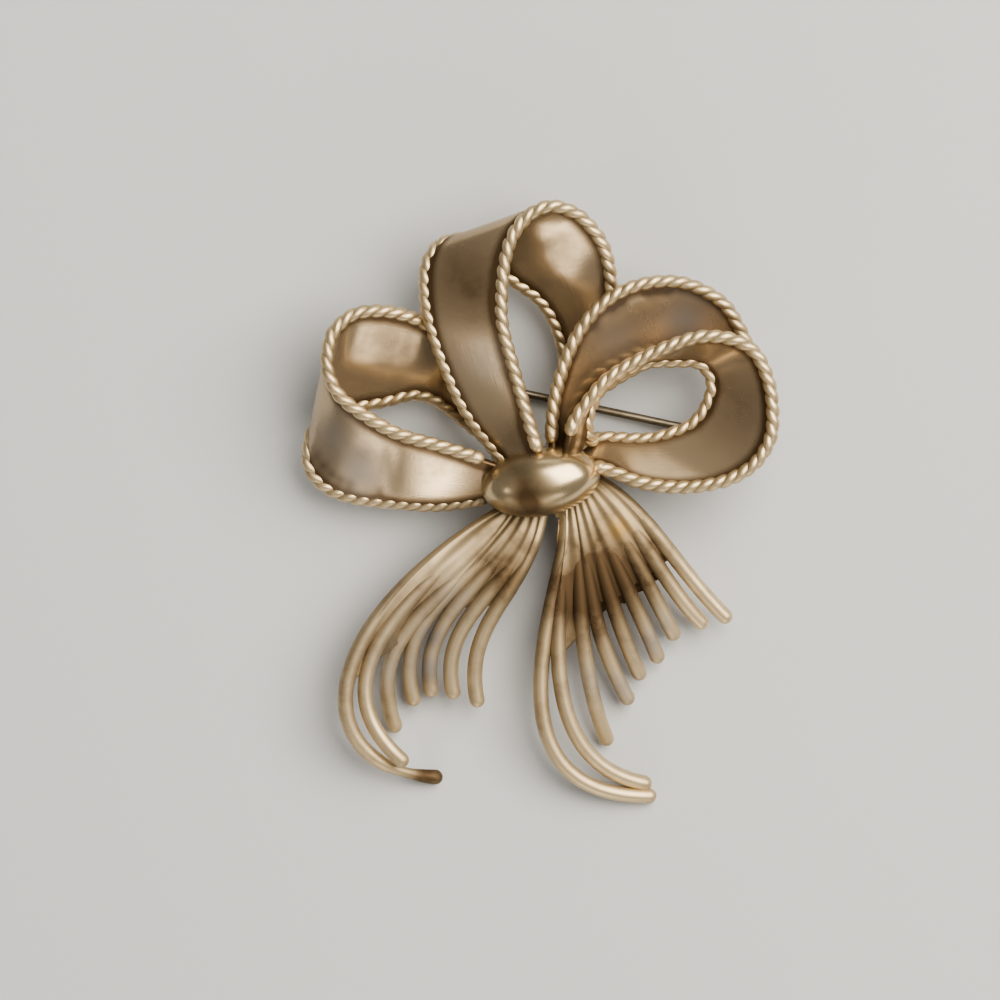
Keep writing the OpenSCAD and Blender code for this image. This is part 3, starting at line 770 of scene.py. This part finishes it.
def fringe_sheet(paths, run, sizes):
    """Thin sheet across a fringe: smooth curves through the wires' paths, drawn back between the wires
    by a share of the run, which makes a shallow bay at its end. Its face lies over the wires at their
    roots, sinks by a power of the run to where they part, and is hollow between each two."""
    count = len(paths)
    places = np.linspace(0, count - 1, SHEET_COLUMNS * (count - 1) + 1)
    sheet = curve_through(paths.reshape(count, -1), places)
    sheet = sheet.reshape(len(places), SHEET_ROWS, 3).transpose(1, 0, 2)
    between = np.sin(math.pi * places) ** 2
    rows = np.outer(np.arange(SHEET_ROWS), 1 - SHEET_BAY * between)
    low_row = np.minimum(rows.astype(int), SHEET_ROWS - 2)
    part = (rows - low_row)[..., None]
    column = np.arange(len(places))
    sheet = sheet[low_row, column] * (1 - part) + sheet[low_row + 1, column] * part
    normal = surface_normal(sheet)
    normal = normal * np.sign(normal[..., 2:])
    share = np.clip(run, 0, 1)
    sunk = SHEET_SINK * share ** SHEET_SINK_POWER - SHEET_OVER_ROOTS
    half = wire_thickness(SHEET_REACH * share, sizes) / 2
    face = (half[:, None] * (1 - sunk[:, None] - SHEET_HOLLOW * between))[..., None] * normal
    rings = np.concatenate([sheet + face, (sheet - SHEET_BACK * MM * normal)[:, ::-1]], axis=1)
    across = np.arange(rings.shape[1] + 1) * COLUMN_WIDTH
    # Patina with painted shade between the wires, darker towards the sheet's end.
    patina = SHEET_PATINA_AND_SHADE + SHEET_PATINA_AND_SHADE_ADDED * share ** 2
    return outward(rings, run * SHEET_LENGTH, across, np.repeat(patina[:, None], rings.shape[1], axis=1))


def fringe(wires, roots, necks, sizes):
    """Fringe of one tail: a tapered tube with a rounded tip along each wire, narrowed by a bell at its
    neck, and the sheet that joins the wires to where they part."""
    root_places = np.linspace(*roots, len(wires))
    shares = np.linspace(WIRE_START, 1, WIRE_RINGS)
    radius = wire_thickness(shares, sizes) / 2
    # Patina along each wire, with painted shade and dark reflection over the middle of its run.
    patina = WIRE_PAINTED_SHADE * bell(shares - WIRE_PAINTED_SHADE_AT, WIRE_PAINTED_SHADE_SPREAD) + WIRE_PATINA
    parts = []
    for root, wire, neck in zip(root_places, wires, necks):
        narrow = 1 - (1 - neck) * bell(shares - NECK_AT, NECK_WIDTH)
        path = wire_path(root, wire, shares)
        parts.append(tube(path, radius * narrow, WIRE_SIDES, patina=patina, cap_rings=TIP_RINGS))
    run = np.linspace(WIRE_START, 1, SHEET_ROWS)
    lines = [wire_path(root, wire, run * wire[7]) for root, wire in zip(root_places, wires)]
    parts.append(fringe_sheet(np.stack(lines), run, sizes))
    return parts


def knot_part(sizes):
    """Knot: rings of an oval whose size follows the sine of an angle from its top, with a height of the
    dome times the root of order k of 1 less that size to the power k, k being the fullness. They are
    lowered along a shallow valley and by a smooth step left of it, and a wall goes down from the rim."""
    rim, floor = KNOT_TOP - sizes.knot_dome, KNOT_FLOOR * MM
    share = np.sin(np.linspace(KNOT_CREST, math.pi / 2, DOME_RINGS))
    height = rim + sizes.knot_dome * (1 - share ** KNOT_FULLNESS) ** (1 / KNOT_FULLNESS)
    wall = np.linspace(0, 1, WALL_RINGS)[1:]
    share = np.concatenate([share, 1 - WALL_DRAWN_IN * wall ** 3, UNDERSIDE])
    height = np.concatenate([height, rim + (floor - rim) * wall, [floor] * len(UNDERSIDE)])
    angle = np.linspace(0, 2 * math.pi, KNOT_SIDES, endpoint=False)
    x = share[:, None] * sizes.knot_length / 2 * np.cos(angle)
    y = share[:, None] * sizes.knot_width / 2 * np.sin(angle)
    z = np.repeat(height[:, None], KNOT_SIDES, axis=1)
    dome = np.clip((z - rim) / sizes.knot_dome, 0, 1)
    valley = bell(x + VALLEY_PLACE * MM + VALLEY_SLANT * y, VALLEY_WIDTH * MM)
    step = 1 / (1 + np.exp((x + STEP_PLACE * MM) / (STEP_WIDTH * MM)))
    z = z - dome * (VALLEY_DEPTH * MM * valley + STEP_DROP * MM * step)
    cosine, sine = math.cos(sizes.knot_turn), math.sin(sizes.knot_turn)
    turned = np.stack([x, y], axis=-1) @ np.array([[cosine, sine], [-sine, cosine]])
    rings = np.concatenate([turned + np.array(KNOT_CENTRE) * MM, z[..., None]], axis=-1)[:, ::-1]
    # Darker towards the foot: patina with painted shade. The valley gets a painted dark reflection.
    foot = np.clip((rim + PATINA_AND_SHADE_OVER_RIM * MM - rings[..., 2]) / (PATINA_AND_SHADE_FADE * MM), 0, 1) * FOOT_PATINA_AND_SHADE
    patina = np.maximum(foot, VALLEY_PAINTED_REFLECTION * valley[:, ::-1])
    return grid_part(rings, run_along(rings[:, 0]) / MM, np.linspace(0, KNOT_ROUND, KNOT_SIDES + 1), patina)


def pin_parts(sizes):
    """Pin: a straight stem with rounded ends from foot to foot, and two round feet, whose ends draw in
    by the square of how far they are into the eased share of the height."""
    feet = np.array(FEET) * MM
    height = PIN_FLOOR + STEM_LIFT * MM
    start, end = ((*foot[:2], height) for foot in feet)
    parts = [tube(np.linspace(start, end, STEM_RINGS), sizes.pin_thickness / 2, STEM_SIDES)]
    place = np.linspace(0, 1, FOOT_RINGS)
    narrow = 1 - FOOT_EASE * np.clip(1 - np.minimum(place, 1 - place) / FOOT_EASE_RUN, 0, 1) ** 2
    for across, along, top, thickness in feet:
        inset = thickness * FOOT_EASE
        column = np.linspace((across, along, inset), (across, along, top - inset), FOOT_RINGS)
        parts.append(tube(column, thickness / 2 * narrow, FOOT_SIDES, up=ALONG, cap_rings=0))
    return parts


# Finishes.

def add_node(tree, kind, wires=None, **values):
    """A node of that kind with these settings and socket values, and these outputs wired into it."""
    node = tree.nodes.new(kind)
    for key, value in values.items():
        if key in node.inputs:
            node.inputs[key].default_value = value
        else:
            setattr(node, key, value)
    for socket, output in (wires or {}).items():
        tree.links.new(output, node.inputs[socket])
    return node


def new_group(name, inputs, outputs):
    """A node group with these named inputs and their defaults, and these named outputs. It comes with
    the sockets that its nodes read and the ones that they feed."""
    group = bpy.data.node_groups.new(name, "ShaderNodeTree")
    for socket, default in inputs.items():
        kind = "NodeSocketFloat" if isinstance(default, float) else "NodeSocketColor"
        group.interface.new_socket(name=socket, in_out="INPUT", socket_type=kind).default_value = default
    for socket, kind in outputs.items():
        group.interface.new_socket(name=socket, in_out="OUTPUT", socket_type=kind)
    return group, group.nodes.new("NodeGroupInput").outputs, group.nodes.new("NodeGroupOutput").inputs


def mixed(tree, factor, under, over):
    """The colour under with the one over it, by a factor."""
    mix = add_node(tree, "ShaderNodeMix", {"Factor": factor, 6: under, 7: over}, data_type="RGBA")
    return mix.outputs[2]


def patina_and_shade_group():
    """The patina-and-shade group: cloudy noise on Object coordinates added to the mask of stains and
    painted shade gives the amount of patina and painted shade over the clean and gilded metal, with the
    grey film, which also paints grey reflections, over both, a roughness that rises with these, and a
    height for fine pitting."""
    group, given, out = new_group("Patina", {
        "Clean colour": (0.6, 0.5, 0.3, 1), "Patina colour": (0.1, 0.07, 0.03, 1),
        "Gilding colour": (0.6, 0.35, 0.1, 1), "Gilding mask": 0.0,
        "Film colour": (0.3, 0.28, 0.25, 1), "Film mask": 0.0, "Stain and shade mask": 0.0,
        "Cloud scale": 260.0, "Cloud amount": 0.35, "Base roughness": 0.3, "Added roughness": 0.25,
    }, {"Colour": "NodeSocketColor", "Roughness": "NodeSocketFloat", "Height": "NodeSocketFloat"})
    place = group.nodes.new("ShaderNodeTexCoord").outputs["Object"]
    noise = add_node(group, "ShaderNodeTexNoise", {"Vector": place, "Scale": given["Cloud scale"]},
                     Detail=4.0, Roughness=0.6)
    cloud = add_node(group, "ShaderNodeMapRange", {"Value": noise.outputs["Fac"]},
                     clamp=True, interpolation_type="SMOOTHSTEP", **CLOUD_EDGE)
    cloudy = add_node(group, "ShaderNodeMath", {0: cloud.outputs["Result"], 1: given["Cloud amount"]},
                      operation="MULTIPLY")
    amount = add_node(group, "ShaderNodeMath", {0: cloudy.outputs[0], 1: given["Stain and shade mask"]},
                      operation="ADD", use_clamp=True)
    gilt = mixed(group, given["Gilding mask"], given["Clean colour"], given["Gilding colour"])
    aged = mixed(group, amount.outputs[0], gilt, given["Patina colour"])
    filmed = mixed(group, given["Film mask"], aged, given["Film colour"])
    dull = add_node(group, "ShaderNodeMath", {0: amount.outputs[0], 1: given["Film mask"]},
                    operation="ADD", use_clamp=True)
    rough = add_node(group, "ShaderNodeMath", {
        0: dull.outputs[0], 1: given["Added roughness"], 2: given["Base roughness"],
    }, operation="MULTIPLY_ADD", use_clamp=True)
    pits = add_node(group, "ShaderNodeTexNoise", {"Vector": place}, Scale=2600.0, Detail=2.0)
    group.links.new(filmed, out["Colour"])
    group.links.new(rough.outputs[0], out["Roughness"])
    group.links.new(pits.outputs["Fac"], out["Height"])
    return group


def grain_group():
    """Grain group: noise stretched along the piece's UV map, for the fine lines that polishing leaves."""
    group, given, out = new_group(
        "Grain", {"Lines along": 0.12, "Lines across": 5.0}, {"Height": "NodeSocketFloat"})
    place = group.nodes.new("ShaderNodeTexCoord").outputs["UV"]
    stretch = add_node(group, "ShaderNodeCombineXYZ",
                       {"X": given["Lines along"], "Y": given["Lines across"]})
    product = add_node(group, "ShaderNodeVectorMath", {0: place, 1: stretch.outputs[0]},
                       operation="MULTIPLY")
    lines = add_node(group, "ShaderNodeTexNoise", {"Vector": product.outputs[0]},
                     Scale=1.0, Detail=3.0, Roughness=0.6)
    group.links.new(lines.outputs["Fac"], out["Height"])
    return group


def metal(name, look, clean, patina, roughness, added, clouds, cloud_scale,
          metallic=0.9, grain=0.0, pits=0.0):
    """A metal with the patina-and-shade group on colour and roughness, and its pits and grain as bumps."""
    material = bpy.data.materials.new(name)
    material.use_nodes = True
    tree = material.node_tree
    shader = tree.nodes["Principled BSDF"]
    shader.inputs["Metallic"].default_value = metallic
    ageing = bpy.data.node_groups.get("Patina") or patina_and_shade_group()
    aged = add_node(tree, "ShaderNodeGroup", node_tree=ageing)
    for socket, value in (("Clean colour", (*clean, 1)), ("Patina colour", (*patina, 1)),
                          ("Gilding colour", (*look.gilding, 1)), ("Film colour", (*look.film, 1)),
                          ("Cloud scale", cloud_scale), ("Cloud amount", clouds),
                          ("Base roughness", roughness), ("Added roughness", added)):
        aged.inputs[socket].default_value = value
    for layer, socket in (("patina", "Stain and shade mask"), ("gilding", "Gilding mask"), ("film", "Film mask")):
        mask = add_node(tree, "ShaderNodeAttribute", attribute_name=layer)
        tree.links.new(mask.outputs["Fac"], aged.inputs[socket])
    tree.links.new(aged.outputs["Colour"], shader.inputs["Base Color"])
    tree.links.new(aged.outputs["Roughness"], shader.inputs["Roughness"])
    heights = []
    if pits:
        heights.append((aged.outputs["Height"], pits))
    if grain:
        lines = add_node(tree, "ShaderNodeGroup",
                         node_tree=bpy.data.node_groups.get("Grain") or grain_group())
        heights.append((lines.outputs["Height"], grain))
    normal = None
    for height, strength in heights:
        bump = add_node(tree, "ShaderNodeBump", {"Height": height}, Strength=strength, Distance=BUMP_DEPTH)
        if normal:
            tree.links.new(normal, bump.inputs["Normal"])
        normal = bump.outputs["Normal"]
    if normal:
        tree.links.new(normal, shader.inputs["Normal"])
    return material


def satin_ribbon_gold(look):
    """Ribbons: satin gold under a dull patina and a grey film that also paint shade and reflections on
    them, with fine polishing lines.
    """
    return metal("Satin ribbon gold", look, look.ribbon_gold, look.ribbon_patina_and_shade, look.ribbon_roughness,
                 added=0.26, clouds=0.28, cloud_scale=170.0, metallic=0.75, grain=0.18, pits=0.15)


def rope_gold(look):
    """Ropes: pale gold with patina and painted shade between the strands."""
    return metal("Rope gold", look, look.gold, look.patina, roughness=0.42,
                 added=0.2, clouds=0.25, cloud_scale=420.0, pits=0.3)


def wire_gold(look):
    """Fringes: worn gold with clouds of patina, painted shade, dark reflections and highlights from its
    masks, and lines along the wires.
    """
    return metal("Wire gold", look, look.gold, look.patina, roughness=0.4,
                 added=0.28, clouds=0.3, cloud_scale=300.0, metallic=0.8, grain=0.3, pits=0.2)


def polished_knot_gold(look):
    """Knot: smooth polished gold, dull where patina is left and where its mask paints shade at the foot
    and a dark reflection.
    """
    return metal("Polished knot gold", look, look.gold, look.patina, look.knot_roughness,
                 added=0.3, clouds=0.15, cloud_scale=330.0)


def dull_pin_steel(look):
    """Pin: dull steel."""
    return metal("Dull pin steel", look, look.steel, look.patina, roughness=0.42,
                 added=0.2, clouds=0.4, cloud_scale=500.0, grain=0.2)


# Studio.

def pale_floor(scene, colour):
    """Flat square floor at the height of nought, in one plain colour."""
    mesh = bpy.data.meshes.new("floor")
    low, high = -FLOOR_REACH, FLOOR_REACH
    mesh.from_pydata([(low, low, 0), (high, low, 0), (high, high, 0), (low, high, 0)], [], [(0, 1, 2, 3)])
    paint = bpy.data.materials.new("Pale floor")
    paint.use_nodes = True
    shader = paint.node_tree.nodes["Principled BSDF"]
    shader.inputs["Base Color"].default_value = (*colour, 1)
    shader.inputs["Roughness"].default_value = FLOOR_ROUGHNESS
    mesh.materials.append(paint)
    floor = bpy.data.objects.new("floor", mesh)
    scene.collection.objects.link(floor)


def soft_light(scene, name, azimuth, elevation, distance, width, height, power):
    """A rectangular soft light that faces the middle of the bow from that direction."""
    lamp = bpy.data.lights.new(name, "AREA")
    lamp.shape, lamp.size, lamp.size_y = "RECTANGLE", width, height
    lamp.energy, lamp.color = power, LAMP_COLOUR
    obj = bpy.data.objects.new(name, lamp)
    across, up = math.radians(azimuth), math.radians(elevation)
    away = mathutils.Vector((math.cos(up) * math.cos(across), math.cos(up) * math.sin(across), math.sin(up)))
    obj.location = away * distance
    obj.rotation_euler = away.to_track_quat("Z", "Y").to_euler()
    scene.collection.objects.link(obj)


def studio_room(scene, strength):
    """Even light all round, and how the scene's light becomes the picture's colours."""
    world = bpy.data.worlds.new("Studio room")
    world.use_nodes = True
    background = world.node_tree.nodes["Background"]
    background.inputs["Color"].default_value = ROOM_COLOUR
    background.inputs["Strength"].default_value = strength
    scene.world = world
    scene.view_settings.view_transform = "AgX"
    scene.view_settings.look = "AgX - Medium High Contrast"


def camera_above(scene):
    """Camera that looks straight down on the bow."""
    camera = bpy.data.cameras.new("camera")
    camera.lens, camera.sensor_width = CAMERA_LENS, CAMERA_SENSOR
    camera.clip_start, camera.clip_end = CAMERA_NEAR, CAMERA_FAR
    view = bpy.data.objects.new("camera", camera)
    view.location = CAMERA_PLACE
    scene.collection.objects.link(view)
    scene.camera = view


# Operators.

class BROOCH_OT_ribbons(bpy.types.Operator):
    """Four ribbon loops that meet under the knot"""
    bl_idname = "brooch.ribbons"
    bl_label = "Ribbon Loops"

    def execute(self, context):
        gold = satin_ribbon_gold(context.scene.brooch_finish)
        for name, (rows, node) in LOOPS.items():
            wall = ribbon(rows, DENTS.get(name, ()), context.scene.brooch_sizes)
            make_piece(f"ribbon_{name}", [wall], gold, node)
        return {"FINISHED"}


class BROOCH_OT_ropes(bpy.types.Operator):
    """Twisted ropes along both edges of each ribbon, with a bead where one stops short of the knot"""
    bl_idname = "brooch.ropes"
    bl_label = "Rope Edges"

    def execute(self, context):
        gold = rope_gold(context.scene.brooch_finish)
        for name, (rows, node) in LOOPS.items():
            parts = loop_ropes(name, rows, context.scene.brooch_sizes)
            make_piece(f"rope_{name}", parts, gold, node)
        return {"FINISHED"}


class BROOCH_OT_knot(bpy.types.Operator):
    """Polished knot with a shallow valley left of its middle"""
    bl_idname = "brooch.knot"
    bl_label = "Knot"

    def execute(self, context):
        gold = polished_knot_gold(context.scene.brooch_finish)
        make_piece("knot_dome", [knot_part(context.scene.brooch_sizes)], gold, "knot")
        return {"FINISHED"}


class BROOCH_OT_fringes(bpy.types.Operator):
    """Two fringes of tapered wires that part below the knot"""
    bl_idname = "brooch.fringes"
    bl_label = "Fringes"

    def execute(self, context):
        sizes = context.scene.brooch_sizes
        gold = wire_gold(context.scene.brooch_finish)
        left = fringe(LEFT_WIRES, LEFT_ROOTS, LEFT_NECKS, sizes)
        make_piece("fringe_left", left, gold, "tail_left")
        right = fringe(RIGHT_WIRES, RIGHT_ROOTS, RIGHT_NECKS, sizes)
        make_piece("fringe_right", right, gold, "tail_right")
        return {"FINISHED"}


class BROOCH_OT_pin(bpy.types.Operator):
    """Pin stem with its two feet"""
    bl_idname = "brooch.pin"
    bl_label = "Pin"

    def execute(self, context):
        steel = dull_pin_steel(context.scene.brooch_finish)
        make_piece("pin_stem", pin_parts(context.scene.brooch_sizes), steel, "pin_back")
        return {"FINISHED"}


class BROOCH_OT_studio(bpy.types.Operator):
    """Pale floor, soft lights and the camera straight above"""
    bl_idname = "brooch.studio"
    bl_label = "Studio"

    def execute(self, context):
        scene, studio = context.scene, context.scene.brooch_studio
        pale_floor(scene, studio.floor_colour)
        for name, (*place_and_size, setting, share) in LIGHTS.items():
            soft_light(scene, name, *place_and_size, getattr(studio, setting) * share)
        studio_room(scene, studio.room_light)
        camera_above(scene)
        return {"FINISHED"}


class BROOCH_PT_panel(bpy.types.Panel):
    """Buttons for the brooch's pieces, with its sizes, finishes and studio"""
    bl_idname = "BROOCH_PT_panel"
    bl_label = "Bow Brooch"
    bl_space_type = "VIEW_3D"
    bl_region_type = "UI"
    bl_category = "Brooch"

    def draw(self, context):
        for operator in OPERATORS:
            self.layout.operator(operator.bl_idname)
        for settings in SETTINGS:
            group = getattr(context.scene, settings)
            box = self.layout.box()
            for name in group.__annotations__:
                box.prop(group, name)


OPERATORS = (BROOCH_OT_ribbons, BROOCH_OT_ropes, BROOCH_OT_knot,
             BROOCH_OT_fringes, BROOCH_OT_pin, BROOCH_OT_studio)
SETTINGS = {"brooch_sizes": BroochSizes, "brooch_finish": BroochFinish, "brooch_studio": StudioSettings}


def register():
    for item in (*SETTINGS.values(), *OPERATORS, BROOCH_PT_panel):
        bpy.utils.register_class(item)
    for name, settings in SETTINGS.items():
        setattr(bpy.types.Scene, name, bpy.props.PointerProperty(type=settings))


def unregister():
    for name in SETTINGS:
        delattr(bpy.types.Scene, name)
    for item in reversed((*SETTINGS.values(), *OPERATORS, BROOCH_PT_panel)):
        bpy.utils.unregister_class(item)


def main():
    register()
    bpy.ops.brooch.ribbons()
    bpy.ops.brooch.ropes()
    bpy.ops.brooch.knot()
    bpy.ops.brooch.fringes()
    bpy.ops.brooch.pin()
    bpy.ops.brooch.studio()


if __name__ == "__main__":
    main()
